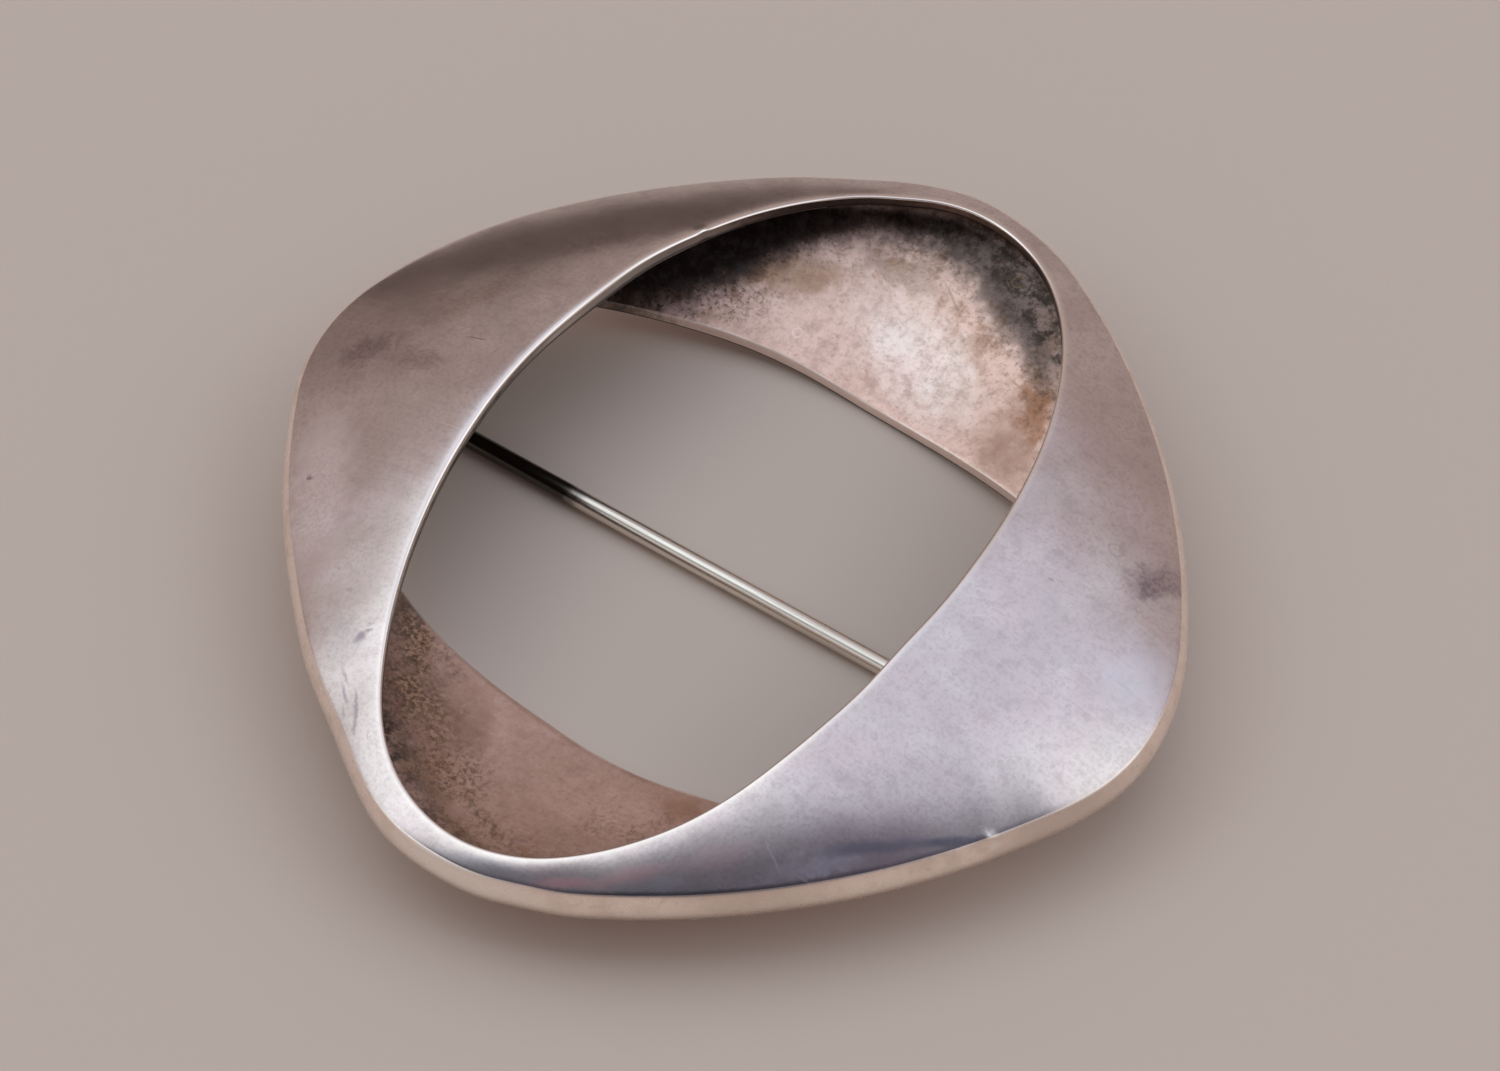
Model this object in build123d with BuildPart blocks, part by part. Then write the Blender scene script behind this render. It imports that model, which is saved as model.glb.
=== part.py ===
# Silver brooch: two shallow domed sheets, back to back, joined by a narrow band.
# Each sheet has a large oval opening, and the two ovals cross at a right angle.
# X runs along the pin, Y across it and Z up through the front. Sizes are in millimetres.
# The brooch lies on its back, and the feet of its hinge and catch are at Z = 0.
from build123d import *
import math
import os

# Rim: a square with bowed sides, whose rounded corners point along X and Y
side_to_side = 48.7
side_radius = 47.7
corner_radius = 13.7

# The two domed sheets and the bulged band between them
sheet = 0.8
dome_rise = 4.7
dome_power = 2.7
band_height = 2.25
band_bulge = 0.35

# Oval opening in each sheet, given by the metal left beyond its two ends and its two sides
metal_at_ends = 1.4
metal_at_sides = 12.75
edge_rounding = 0.25

# Pin stem with its eye and its point
stem_diameter = 1.1
stem_aside = -0.4
stem_floor_gap = 0.1
eye_radius = 1.35
eye_width = 1.2
point_length = 4.0
point_diameter = 0.3
tip_past_catch = 1.5

# Rivet that the stem turns on
rivet_diameter = 0.8
rivet_running_gap = 0.05
rivet_hole_gap = 0.02
rivet_head_diameter = 1.6
rivet_head_height = 0.4
rivet_head_rounding = 0.25

# Hinge ears and catch, soldered inside the rim
ear_thickness = 0.8
ear_side_gap = 0.1
ear_margin = 0.2
hinge_from_rim = 4.2
catch_from_rim = 4.2
catch_length = 2.0
catch_cheek = 0.8
catch_gap = 0.12
arm_height = 2.0
arm_to_outside = 0.2
foot_rounding = 0.25
shoulder_rounding = 0.8

# Sections of a dome from the rim inwards, as shares of the rim's outline
dome_sections = [
    {"outline_share": 0.93},
    {"outline_share": 0.84},
    {"outline_share": 0.72},
    {"outline_share": 0.58},
    {"outline_share": 0.42},
]

# Where the arcs of the rim's outline have their centres, and how far its corners reach
half_side = side_to_side / 2
side_offset = (side_radius - half_side) / math.sqrt(2)
corner_reach = math.sqrt((side_radius - corner_radius) ** 2 - side_offset ** 2)
corner_offset = corner_reach - side_offset
half_corner = corner_offset + corner_radius
join_angle = math.degrees(math.atan2(side_offset, corner_reach))


def dome_height(outline_share):
    """How high a dome stands over its rim, where it is this share of the rim's outline."""
    return dome_rise * (1 - outline_share ** dome_power)


# Heights above the surface that the brooch lies on
opening_half_length = half_corner - metal_at_ends
opening_half_width = half_corner - metal_at_sides
back_rim_z = dome_height(opening_half_width / half_corner)
front_rim_z = back_rim_z + band_height
middle_z = back_rim_z + band_height / 2
top_z = front_rim_z + back_rim_z


def outline(height, share=1.0, inset=0.0):
    """The rim's outline at a height: four corner arcs and four side arcs, tangent all round."""
    with BuildSketch(Plane.XY.offset(height)) as section:
        with BuildLine():
            for quarter in range(4):
                turn = 90 * quarter
                corner_centre = Vector(share * corner_offset, 0).rotate(Axis.Z, turn)
                side_centre = Vector(-share * side_offset, -share * side_offset).rotate(Axis.Z, turn)
                CenterArc(corner_centre, share * corner_radius - inset, turn - join_angle, 2 * join_angle)
                CenterArc(side_centre, share * side_radius - inset, turn + join_angle, 90 - 2 * join_angle)
        make_face()
    return section.sketch


def dome(rim_z, upwards, inset, drop):
    """A dome over the rim: its first section is inset from the rim, and all are lowered by the drop."""
    first_height = dome_height(1 - inset / half_corner) - drop
    sections = [outline(rim_z + upwards * first_height, inset=inset)]
    for section in dome_sections:
        height = dome_height(section["outline_share"]) - drop
        sections.append(outline(rim_z + upwards * height, share=section["outline_share"]))
    loft(sections)


def lens(inset, drop):
    """The closed form of both domes and the band: the outer faces, or those a sheet further in."""
    first_height = dome_height(1 - inset / half_corner) - drop
    dome(back_rim_z, -1, inset, drop)
    dome(front_rim_z, 1, inset, drop)
    band = [
        outline(back_rim_z - first_height, inset=inset),
        outline(middle_z, inset=inset - band_bulge),
        outline(front_rim_z + first_height, inset=inset),
    ]
    loft(band)


with BuildPart() as outer_form:
    lens(0, 0)

with BuildPart() as hollow:
    lens(sheet, sheet)

# Places that the hinge, the catch and the stem share
hinge_x = -(half_corner - hinge_from_rim)
catch_x = half_corner - catch_from_rim
stem_radius = stem_diameter / 2
stem_z = stem_floor_gap + stem_radius
eye_z = stem_floor_gap + eye_radius
ear_offset = (eye_width + ear_thickness) / 2 + ear_side_gap
ears_width = 2 * ear_offset + ear_thickness
catch_width = stem_diameter + 2 * (catch_gap + catch_cheek)


def bracket(side, leg_x, leg_width, middle_y):
    """Outline of a leg that stands on its foot, with an arm that runs out to the rim."""
    inner_x = leg_x - side * leg_width / 2
    outer_x = leg_x + side * leg_width / 2
    arm_end = side * (half_corner - arm_to_outside)
    arm_bottom = middle_z - arm_height / 2
    arm_top = middle_z + arm_height / 2
    corners = [
        (inner_x, 0),
        (outer_x, 0),
        (outer_x, arm_bottom),
        (arm_end, arm_bottom),
        (arm_end, arm_top),
        (inner_x, arm_top),
    ]
    with BuildSketch(Plane.XZ.offset(-middle_y)) as profile:
        with BuildLine():
            Polyline(*corners, close=True)
        make_face()
        fillet(profile.vertices().group_by(Axis.Y)[0], radius=foot_rounding)
        shoulder = profile.vertices().group_by(Axis.Y)[-1].sort_by(Axis.X)
        fillet(shoulder[0] if side > 0 else shoulder[-1], radius=shoulder_rounding)
    return profile.sketch


# Soldered silver body
with BuildPart() as brooch_body:
    add(outer_form.part)
    add(hollow.part, mode=Mode.SUBTRACT)
    with BuildSketch(Plane.XY.offset(middle_z)):
        Ellipse(opening_half_width, opening_half_length)
    extrude(amount=top_z, mode=Mode.SUBTRACT)
    with BuildSketch(Plane.XY.offset(middle_z)):
        Ellipse(opening_half_length, opening_half_width)
    extrude(amount=-top_z, mode=Mode.SUBTRACT)

    # Both sheets' outer edges are rounded round their openings
    opening_walls = brooch_body.faces().filter_by(GeomType.EXTRUSION).sort_by(Axis.Z)
    back_edge = opening_walls[0].wires().sort_by(Axis.Z)[0]
    front_edge = opening_walls[-1].wires().sort_by(Axis.Z)[-1]
    fillet(back_edge.edges() + front_edge.edges(), radius=edge_rounding)

    # Hinge ears, one on each side of the stem's eye
    for ear_side in (-1, 1):
        ear_y = stem_aside + ear_side * ear_offset
        extrude(bracket(-1, hinge_x, 2 * (eye_radius + ear_margin), ear_y), amount=ear_thickness / 2, both=True)
    with BuildSketch(Plane.XZ.offset(-stem_aside)):
        with Locations((hinge_x, eye_z)):
            Circle(rivet_diameter / 2 + rivet_hole_gap)
    extrude(amount=ears_width, both=True, mode=Mode.SUBTRACT)

    # Catch, open towards the back so that the stem leaves it straight
    extrude(bracket(1, catch_x, catch_length, stem_aside), amount=catch_width / 2, both=True)
    with BuildSketch(Plane.YZ.offset(catch_x)):
        with Locations((stem_aside, stem_z)):
            Circle(stem_radius + catch_gap)
            Rectangle(stem_diameter + 2 * catch_gap, 2 * stem_z, align=(Align.CENTER, Align.MAX))
    extrude(amount=catch_length, both=True, mode=Mode.SUBTRACT)

# Pin stem: a round wire with a flat eye at one end and a point at the other
with BuildPart() as pin_stem:
    tip_x = catch_x + catch_length / 2 + tip_past_catch
    stem_profile = [
        (hinge_x, stem_z),
        (hinge_x, stem_z + stem_radius),
        (tip_x - point_length, stem_z + stem_radius),
        (tip_x, stem_z + point_diameter / 2),
        (tip_x, stem_z),
    ]
    with BuildSketch(Plane.XZ.offset(-stem_aside)):
        with BuildLine():
            Polyline(*stem_profile, close=True)
        make_face()
    revolve(axis=Axis((0, stem_aside, stem_z), (1, 0, 0)))
    with BuildSketch(Plane.XZ.offset(-stem_aside)):
        with Locations((hinge_x, eye_z)):
            Circle(eye_radius)
    extrude(amount=eye_width / 2, both=True)
    with BuildSketch(Plane.XZ.offset(-stem_aside)):
        with Locations((hinge_x, eye_z)):
            Circle(rivet_diameter / 2 + rivet_running_gap)
    extrude(amount=eye_width, both=True, mode=Mode.SUBTRACT)

# Rivet, with a rounded head seated on the outside of each ear
with BuildPart() as hinge_rivet:
    with BuildSketch(Plane.XZ.offset(-stem_aside)):
        with Locations((hinge_x, eye_z)):
            Circle(rivet_diameter / 2)
    extrude(amount=ears_width / 2 + rivet_head_height, both=True)
    for head_side in (-1, 1):
        head_seat = Plane.XZ.offset(-stem_aside - head_side * ears_width / 2)
        with BuildSketch(head_seat):
            with Locations((hinge_x, eye_z)):
                Circle(rivet_head_diameter / 2)
        extrude(amount=-head_side * rivet_head_height)
    head_ends = hinge_rivet.faces().filter_by(Axis.Y).sort_by(Axis.Y)
    fillet(head_ends[0].edges() + head_ends[-1].edges(), radius=rivet_head_rounding)

brooch_body.part.label = "brooch_body"
pin_stem.part.label = "pin_stem"
hinge_rivet.part.label = "hinge_rivet"

os.makedirs("parts", exist_ok=True)
for piece in (brooch_body, pin_stem, hinge_rivet):
    export_step(piece.part, f"parts/{piece.part.label}.step")
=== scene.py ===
import bmesh
import bpy
import math
import numpy as np
from mathutils import Matrix, Vector


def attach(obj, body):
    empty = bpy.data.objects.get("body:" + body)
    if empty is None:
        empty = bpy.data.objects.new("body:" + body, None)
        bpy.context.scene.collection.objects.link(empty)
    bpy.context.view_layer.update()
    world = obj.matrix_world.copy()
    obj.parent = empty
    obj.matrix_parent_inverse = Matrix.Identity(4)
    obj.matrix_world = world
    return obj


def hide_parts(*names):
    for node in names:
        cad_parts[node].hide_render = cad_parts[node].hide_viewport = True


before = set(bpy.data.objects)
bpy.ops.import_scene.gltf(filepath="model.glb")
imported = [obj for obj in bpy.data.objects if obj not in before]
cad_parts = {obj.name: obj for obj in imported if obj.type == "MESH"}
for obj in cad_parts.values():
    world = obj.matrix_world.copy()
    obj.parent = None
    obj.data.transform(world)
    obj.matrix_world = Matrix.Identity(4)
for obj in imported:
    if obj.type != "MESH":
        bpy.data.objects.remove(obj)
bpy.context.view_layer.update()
mm = 0.001  # sizes below are in millimetres, and every mesh is put down in metres
print("frame loaded, pieces:", sorted(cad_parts))


# A table is its columns' names and its rows. Each row becomes a dictionary.
def table(columns, *rows):
    return [dict(zip(columns.split(), row)) for row in rows]


# Bell curves round the circle, each at its angle from +X
def leanTable(*rows):
    return table("angle outwards spread", *rows)


def noiseTable(*rows):
    return table("name scale detail roughness distortion stretch turn", *rows)


# Each layer lays a colour where a noise goes from its start to its end, up to a depth
def layerTable(*rows):
    return table("noise starts ends depth colour", *rows)


# Soft ovals of a colour: their middle, half length, half width, turn from +X and depth
def ovalTable(*rows):
    return table("x y long wide turn depth colour", *rows)


# Camera: where it stands, the point that it looks at, and how far it is tipped over
cameraSettings = {
    "stands": (97.25, -136.17, 231.50),
    "looksAt": (1.53, -0.38, 6.12),
    "roll": -0.88,
    "lens": 121.84,
    "sensor": 36.0,
    "clipStart": 10.0,
    "clipEnd": 50000.0,
}


def placeCamera(settings):
    data = bpy.data.cameras.new("camera")
    data.lens = settings["lens"]
    data.sensor_width = settings["sensor"]
    data.clip_start = settings["clipStart"] * mm
    data.clip_end = settings["clipEnd"] * mm
    camera = bpy.data.objects.new("camera", data)
    bpy.context.scene.collection.objects.link(camera)
    stands = Vector(settings["stands"]) * mm
    aim = Vector(settings["looksAt"]) * mm - stands
    turn = aim.to_track_quat("-Z", "Y").to_matrix() @ Matrix.Rotation(math.radians(settings["roll"]), 3, "Z")
    camera.matrix_world = Matrix.Translation(stands) @ turn.to_4x4()
    bpy.context.scene.camera = camera


placeCamera(cameraSettings)
print("camera placed")


# Node trees are written with this small helper, so that a finish reads as a few lines
class NodeWriter:
    def __init__(self, tree):
        self.tree = tree

    def add(self, kind, inputs=None, **settings):
        node = self.tree.nodes.new(kind)
        for name, value in settings.items():
            setattr(node, name, value)
        for name, value in (inputs or {}).items():
            self.put(node.inputs[name], value)
        return node

    def put(self, socket, value):
        if isinstance(value, bpy.types.NodeSocket):
            self.tree.links.new(value, socket)
        elif isinstance(value, tuple) and len(value) == 3 and socket.type == "RGBA":
            socket.default_value = (*value, 1.0)
        else:
            socket.default_value = value

    def sum(self, kind, a, b=0.0, c=0.0):
        node = self.add("ShaderNodeMath", operation=kind)
        for socket, value in zip(node.inputs, (a, b, c)):
            self.put(socket, value)
        return node.outputs[0]

    def vector(self, kind, a, b=(0.0, 0.0, 0.0)):
        node = self.add("ShaderNodeVectorMath", operation=kind)
        self.put(node.inputs[0], a)
        self.put(node.inputs[1], b)
        return node.outputs["Value" if kind in ("DOT_PRODUCT", "LENGTH") else "Vector"]

    # from low to high, smoothly, as the value goes from start to end
    def fade(self, value, start, end, low=0.0, high=1.0):
        node = self.add("ShaderNodeMapRange", interpolation_type="SMOOTHSTEP")
        for socket, number in zip(node.inputs[:5], (value, start, end, low, high)):
            self.put(socket, number)
        return node.outputs[0]

    # a table of noises by name; where a row has a stretch, places are scaled along X, Y and Z by it
    # and then turned, which gives another part of the noise and leaves its lines along the axes
    def noises(self, where, rows):
        made = {}
        for row in rows:
            place = self.stretch(where, row["stretch"], row["turn"]) if row["stretch"] else where
            inputs = {"Vector": place, "Scale": row["scale"], "Detail": row["detail"],
                      "Roughness": row["roughness"], "Distortion": row["distortion"]}
            made[row["name"]] = self.add("ShaderNodeTexNoise", inputs).outputs["Fac"]
        return made

    def stretch(self, where, scale, turn):
        inputs = {"Vector": where, "Scale": scale, "Rotation": (0.0, 0.0, math.radians(turn))}
        return self.add("ShaderNodeMapping", inputs).outputs["Vector"]

    # a place moved aside by a noise, up to half the reach in each direction
    def wander(self, where, scale, reach, detail=4.0):
        noise = self.add("ShaderNodeTexNoise", {"Vector": where, "Scale": scale, "Detail": detail})
        aside = self.vector("SUBTRACT", noise.outputs["Color"], (0.5, 0.5, 0.5))
        return self.vector("ADD", where, self.vector("MULTIPLY", aside, (reach * mm, reach * mm, reach * mm)))

    def mix(self, share, first, second):
        node = self.add("ShaderNodeMix", data_type="RGBA")
        self.put(node.inputs[0], share)
        self.put(node.inputs[6], first)
        self.put(node.inputs[7], second)
        return node.outputs[2]

    def attribute(self, name):
        return self.add("ShaderNodeAttribute", attribute_name=name).outputs["Fac"]


# Studio light: one soft surround, painted patch over patch. Turn is measured from +X towards +Y,
# height above the floor, and a patch fades from its inner to its outer angle.
studioLight = {
    "surround": (0.436, 0.36, 0.336),
    "patches": table(
        "name turn height inner outer colour",
        ("overhead", 45.7, 76.0, 26, 54, (0.80, 0.85, 0.99)),
        ("back wall left", 153.4, 12.5, 8, 22, (0.29, 0.23, 0.205)),
        ("back wall", 135, 3, 9, 18, (0.12, 0.09, 0.08)),
        ("left window", 214.6, 61.1, 9, 40, (1.24, 1.35, 1.41)),
        ("right window", 23, 44, 3, 27, (1.22, 1.31, 1.37)),
        ("camera side", -50, 57, 11, 29, (0.07, 0.07, 0.085)),
        ("beside the camera", -21.9, 59.4, 9, 20, (0.14, 0.135, 0.18)),
        ("left of the camera", -108.3, 60.8, 11, 21, (0.16, 0.155, 0.19)),
    ),
}


def lightStudio(settings):
    world = bpy.data.worlds.new("studio")
    world.use_nodes = True
    bpy.context.scene.world = world
    write = NodeWriter(world.node_tree)
    direction = write.vector("NORMALIZE", write.add("ShaderNodeTexCoord").outputs["Generated"])
    colour = settings["surround"]
    for patch in settings["patches"]:
        turn, height = math.radians(patch["turn"]), math.radians(patch["height"])
        towards = (math.cos(turn) * math.cos(height), math.sin(turn) * math.cos(height), math.sin(height))
        nearness = write.vector("DOT_PRODUCT", direction, towards)
        outer, inner = (math.cos(math.radians(patch[edge])) for edge in ("outer", "inner"))
        share = write.fade(nearness, outer, inner)
        colour = write.mix(share, colour, patch["colour"])
    write.put(world.node_tree.nodes["Background"].inputs["Color"], colour)
    bpy.context.scene.view_settings.view_transform = "Standard"


lightStudio(studioLight)

# Plain pale floor
floorSettings = {"halfSide": 3000.0, "colour": (0.74, 0.625, 0.545), "roughness": 0.9}


def layFloor(settings):
    half = settings["halfSide"] * mm
    mesh = bpy.data.meshes.new("floor")
    corners = [(-half, -half, 0.0), (half, -half, 0.0), (half, half, 0.0), (-half, half, 0.0)]
    mesh.from_pydata(corners, [], [(0, 1, 2, 3)])
    floor = bpy.data.objects.new("floor", mesh)
    bpy.context.scene.collection.objects.link(floor)
    material = bpy.data.materials.new("pale floor")
    material.use_nodes = True
    shader = material.node_tree.nodes["Principled BSDF"]
    shader.inputs["Base Color"].default_value = (*settings["colour"], 1.0)
    shader.inputs["Roughness"].default_value = settings["roughness"]
    mesh.materials.append(material)


layFloor(floorSettings)
print("light and floor made")


# Silver body: two domed sheets back to back, the band between them, and an oval opening in each
bodySizes = {
    "sideToSide": 48.7,
    "sideRadius": 47.7,
    "cornerRadius": 13.7,
    "domeRise": 4.7,
    "domePower": 2.7,
    "sheet": 0.8,
    "bandHeight": 2.25,
    "bandBulge": 0.35,
    "metalAtEnds": 1.4,
    "metalAtSides": 12.75,
    "openingRounding": 0.2,
    "softened": 0.09,
    "softenedReach": 0.4,
    "rimRounding": 0.16,
    "innerRounding": 0.12,
    "creaseRounding": 0.2,
    "stepsAround": 512,
    "stepsInCorner": 4,
}

# Where the handmade edges leave the even ones, outwards from the middle, by angle from +X. The last
# three change the openings' rounding and the polished edge instead.
leans = {
    "rim": leanTable(
        (171, -0.32, 7),
        (154, 0.08, 5),
        (107, -0.11, 4),
        (93, 0.16, 4),
        (10, -0.09, 6),
        (-4, 0.08, 6),
        (-16, -0.09, 7),
        (-80, -0.16, 3),
        (-98, 0.14, 4),
        (-114, -0.20, 5),
        (-136, -0.11, 7),
    ),
    "frontOpening": leanTable(
        (140, 0.30, 8),
        (120, 0.19, 9),
        (101, -0.22, 3),
        (76, 0.17, 9),
        (-16, -0.10, 7),
        (-60, 0.24, 9),
        (-107, 0.26, 8),
    ),
    "frontWallFoot": leanTable((146, -0.36, 17)),
    "backOpening": leanTable(
        (119, 0.52, 17),
        (-59, -0.15, 7),
        (-101, -0.14, 7),
        (-133, 0.24, 9),
    ),
    "openingRounding": leanTable(
        (205, 0.16, 40),
        (138, -0.10, 22),
    ),
    "softened": leanTable((244, 0.14, 27)),
    "softenedReach": leanTable((244, 0.55, 28)),
}

# A dark line runs where the front meets the band: how deep, by angle from +X
seamDarkLine = leanTable((-56, 0.8, 24))

halfSide = bodySizes["sideToSide"] / 2
sideOffset = (bodySizes["sideRadius"] - halfSide) / math.sqrt(2)
cornerReach = math.sqrt((bodySizes["sideRadius"] - bodySizes["cornerRadius"]) ** 2 - sideOffset ** 2)
cornerOffset = cornerReach - sideOffset
halfCorner = cornerOffset + bodySizes["cornerRadius"]
halfLength = halfCorner - bodySizes["metalAtEnds"]
halfWidth = halfCorner - bodySizes["metalAtSides"]


# Height of a dome over its rim: its rise, less the rise times the share of the outline to a power
def domeHeight(share):
    return bodySizes["domeRise"] * (1 - share ** bodySizes["domePower"])


backRimZ = domeHeight(halfWidth / halfCorner)
frontRimZ = backRimZ + bodySizes["bandHeight"]
middleZ = (backRimZ + frontRimZ) / 2


# Sum of bell curves round the circle, each at its own angle
def leanAt(angle, rows):
    lean = np.zeros_like(angle)
    for row in rows:
        away = np.mod(angle - math.radians(row["angle"]) + math.pi, 2 * math.pi) - math.pi
        lean += row["outwards"] * np.exp(-((away / math.radians(row["spread"])) ** 2) / 2)
    return lean


# Distance from the middle to an arc, at an angle from the line that its centre lies on:
# c cos t + sqrt(R^2 - (c sin t)^2)
def arcDistance(angle, centre, radius):
    return centre * np.cos(angle) + np.sqrt(radius ** 2 - (centre * np.sin(angle)) ** 2)


# Distance from the middle to the rim: on a corner's arc near each axis, on a side's arc between
def rimDistance(angle):
    fromCorner = np.mod(angle + math.pi / 4, math.pi / 2) - math.pi / 4
    fromSide = np.abs(fromCorner) - math.pi / 4
    cornerRadius, sideRadius = bodySizes["cornerRadius"], bodySizes["sideRadius"]
    joinSide = cornerRadius * sideOffset / (sideRadius - cornerRadius)
    joinAhead = cornerOffset + cornerRadius * cornerReach / (sideRadius - cornerRadius)
    joinAngle = math.atan2(joinSide, joinAhead)
    corner = arcDistance(np.clip(fromCorner, -joinAngle, joinAngle), cornerOffset, cornerRadius)
    side = arcDistance(fromSide, -sideOffset * math.sqrt(2), sideRadius)
    return np.where(np.abs(fromCorner) < joinAngle, corner, side) + leanAt(angle, leans["rim"])


# Distance from the middle to an oval with these half lengths along X and Y: one over the root of
# (cos t / alongX)^2 + (sin t / alongY)^2
def ovalDistance(angle, alongX, alongY):
    return 1 / np.sqrt((np.cos(angle) / alongX) ** 2 + (np.sin(angle) / alongY) ** 2)


# Inside the back sheet, black patina with painted shade starts at a share of the rim's distance. By angle:
# where it starts, how black it is, and how thickly the metal before it is specked.
patinaAndShadeRows = table(
    "angle starts black specks",
    (0, 0.95, 0.7, 0.2),
    (60, 0.865, 0.70, 0.5),
    (69, 0.855, 0.78, 0.5),
    (79, 0.845, 0.88, 0.4),
    (90, 0.89, 0.95, 0.3),
    (106, 0.93, 0.96, 0.3),
    (114, 0.89, 1.0, 0.5),
    (123, 0.82, 1.0, 0.8),
    (138, 0.77, 1.0, 1.0),
    (180, 0.90, 0.8, 0.5),
    (223, 0.84, 0.55, 0.9),
    (250, 0.86, 0.6, 0.8),
    (265, 0.89, 0.6, 0.45),
    (300, 0.90, 0.5, 0.35),
    (330, 0.95, 0.5, 0.2),
)


# Straight from row to row, all round the circle
def patinaAndShadeAt(angle, column):
    angles = [row["angle"] for row in patinaAndShadeRows]
    return np.interp(np.degrees(angle), angles, [row[column] for row in patinaAndShadeRows], period=360)


# The section of the body at every angle, as a closed loop that goes over the front, down the band,
# under the back and home along the inside. Each run gives (distance, height) at shares of its length,
# and two runs meet in a quadratic curve, whose rounding is how far from their corner it starts.
# Returns grids of angle by loop, the name of each column, and what the finishes read at each point.
def bodyGrid():
    sizes = bodySizes
    angle = np.linspace(0, 2 * math.pi, sizes["stepsAround"], endpoint=False)[:, None]
    rim = rimDistance(angle)
    frontEdge = ovalDistance(angle, halfWidth, halfLength) + leanAt(angle, leans["frontOpening"])
    wallFoot = frontEdge + leanAt(angle, leans["frontWallFoot"])
    backEdge = ovalDistance(angle, halfLength, halfWidth) + leanAt(angle, leans["backOpening"])
    sheet, bulge = sizes["sheet"], sizes["bandBulge"]
    opening = sizes["openingRounding"] + leanAt(angle, leans["openingRounding"])
    rimInside = rim - sheet

    def along(start, end, share):
        return start + (end - start) * share

    def domeZ(distance, rimZ, upwards, drop=0.0):
        return rimZ + upwards * (domeHeight(distance / rim) - drop)

    def dome(start, end, rimZ, upwards, drop=0.0):
        def run(share):
            distance = along(start, end, share)
            return distance, domeZ(distance, rimZ, upwards, drop)
        return run

    # straight, and pushed outwards by 4 s (1 - s) times the swell
    def wall(start, end, startZ, endZ, swell=0.0):
        def run(share):
            return along(start, end, share) + swell * 4 * share * (1 - share), along(startZ, endZ, share)
        return run

    lowEdge, highEdge = domeZ(backEdge, backRimZ, -1), domeZ(frontEdge, frontRimZ, 1)
    lowInside, highInside = domeZ(rimInside, backRimZ, -1, sheet), domeZ(rimInside, frontRimZ, 1, sheet)
    highFoot = domeZ(wallFoot, frontRimZ, 1, sheet)
    bandLength, sheetLength = rim * 0 + sizes["bandHeight"], rim * 0 + sheet
    inner, crease, outer = sizes["innerRounding"], sizes["creaseRounding"], sizes["rimRounding"]
    backOpening = sizes["openingRounding"]
    runs = table(
        "name run length steps rounding",
        ("front", dome(frontEdge, rim, frontRimZ, 1), rim - frontEdge, 46, opening),
        ("band", wall(rim, rim, frontRimZ, backRimZ, bulge), bandLength, 14, outer),
        ("back", dome(rim, backEdge, backRimZ, -1), rim - backEdge, 26, outer),
        ("backEdge", wall(backEdge, backEdge, lowEdge, lowEdge + sheet), sheetLength, 4, backOpening),
        ("backInside", dome(backEdge, rimInside, backRimZ, -1, sheet), rimInside - backEdge, 34, inner),
        ("bandInside", wall(rimInside, rimInside, lowInside, highInside, bulge), bandLength, 8, crease),
        ("frontInside", dome(rimInside, wallFoot, frontRimZ, 1, sheet), rimInside - wallFoot, 12, crease),
        ("frontEdge", wall(wallFoot, frontEdge, highFoot, highEdge), sheetLength, 9, inner),
    )
    distances, heights, names = [], [], []
    for this, after in zip(runs, runs[1:] + runs[:1]):
        startShare = this["rounding"] / this["length"]
        endShare = 1 - after["rounding"] / this["length"]
        share = startShare + (endShare - startShare) * np.linspace(0, 1, this["steps"])[None, :]
        distance, height = this["run"](share)
        distances.append(distance)
        heights.append(height)
        names += [this["name"]] * this["steps"]
        # the corner between this run and the next
        endShape, corner = this["run"](endShare), this["run"](1.0)
        nextShape = after["run"](after["rounding"] / after["length"])
        turn = np.linspace(0, 1, sizes["stepsInCorner"] + 2)[None, 1:-1]
        for values, index in ((distances, 0), (heights, 1)):
            values.append(endShape[index] * (1 - turn) ** 2 + 2 * corner[index] * turn * (1 - turn)
                          + nextShape[index] * turn ** 2)
        names += [this["name"] + "Corner"] * sizes["stepsInCorner"]
    distance, height = np.concatenate(distances, axis=1), np.concatenate(heights, axis=1)
    attributes = {
        "frontGap": distance - frontEdge,
        "backGap": distance - backEdge,
        "footGap": height - highFoot,
        "rimGap": rim - distance,
        "seamDepth": leanAt(angle, seamDarkLine) + 0 * distance,
        "patinaAndShadeGap": distance / rim - patinaAndShadeAt(angle, "starts"),
        "patinaAndShadeBlack": patinaAndShadeAt(angle, "black") + 0 * distance,
        "patinaSpecks": patinaAndShadeAt(angle, "specks") + 0 * distance,
    }
    return angle + 0 * distance, distance, height, names, attributes


# Polishing has worn the front down towards its opening. The drop is largest at the edge, and over each
# reach it falls to about a third.
def polishedDrop(angle, gap):
    drop = bodySizes["softened"] + leanAt(angle, leans["softened"])
    reach = bodySizes["softenedReach"] + leanAt(angle, leans["softenedReach"])
    return drop * np.exp(-np.clip(gap, 0, None) / reach)


# Low waves left by hammering and filing, as the sum of four crossed waves a few millimetres long.
# Each is bent along its way, so that it doesn't repeat evenly.
handWaves = table(
    "across turn rise ahead",
    (7.3, 18, 0.010, 0.0),
    (9.1, 74, 0.012, 1.7),
    (5.2, 131, 0.006, 3.4),
    (3.6, 47, 0.003, 5.1),
)
waveBend = {"by": 0.8, "every": 2.7}


def handWork(x, y):
    rise = np.zeros_like(x)
    for wave in handWaves:
        turn = math.radians(wave["turn"])
        phase = 2 * math.pi * (x * math.cos(turn) + y * math.sin(turn)) / wave["across"]
        bent = waveBend["by"] * np.sin(phase / waveBend["every"])
        rise += wave["rise"] * np.sin(phase + wave["ahead"] + bent)
    return rise


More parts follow.
